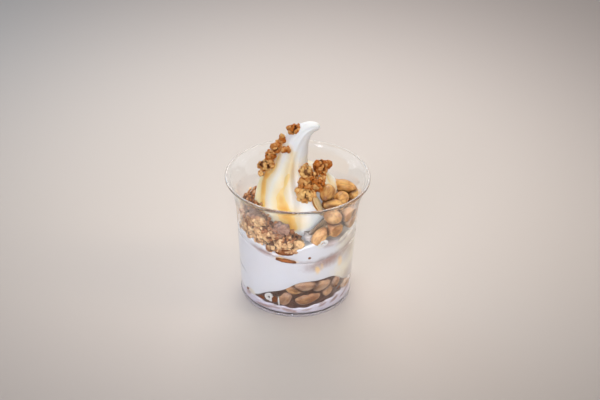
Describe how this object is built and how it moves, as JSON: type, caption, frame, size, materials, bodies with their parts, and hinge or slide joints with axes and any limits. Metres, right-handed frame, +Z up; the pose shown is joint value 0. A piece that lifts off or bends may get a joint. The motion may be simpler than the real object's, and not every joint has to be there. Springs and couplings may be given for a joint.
{
  "type": "soft serve sundae",
  "caption": "Soft serve sundae in a flared clear glass cup: layers of soft serve and peanuts, with a piped swirl, granola, peanuts and caramel sauce on top.",
  "frame": {"origin": "middle of the cup's foot, on the plane that it stands on", "axes": "+Z up along the cup's axis; -Y is the front, and the swirl's tip points to +X"},
  "size_m": [0.09, 0.09, 0.1206],
  "materials": {
    "clear_glass": "clear, smooth and colourless, with a thin flared lip",
    "soft_serve": "smooth white soft serve, softly glossy where it melts",
    "roasted_peanut": "golden roasted kernels with a thin sheen of oil",
    "granola": "knobbly baked oats, from gold to dark brown, partly glazed",
    "caramel_sauce": "thin glossy caramel, amber where thick and pale gold where thin"
  },
  "bodies": {
    "root": {"glass_cup": "clear_glass", "base_cream": "soft_serve", "lower_peanut_layer": "roasted_peanut", "lower_soft_serve": "soft_serve", "upper_granola_heap": "granola", "upper_peanut_heap": "roasted_peanut", "soft_serve_swirl": "soft_serve", "granola_cluster_01": "granola", "granola_cluster_02": "granola", "granola_cluster_03": "granola", "granola_cluster_04": "granola", "granola_cluster_05": "granola", "granola_cluster_06": "granola", "granola_cluster_07": "granola", "granola_cluster_08": "granola", "granola_cluster_09": "granola", "granola_cluster_10": "granola", "granola_cluster_11": "granola", "granola_cluster_12": "granola", "peanut_01": "roasted_peanut", "peanut_02": "roasted_peanut", "peanut_03": "roasted_peanut", "peanut_04": "roasted_peanut", "peanut_05": "roasted_peanut", "peanut_06": "roasted_peanut", "peanut_07": "roasted_peanut", "peanut_08": "roasted_peanut"}
  },
  "joints": []
}
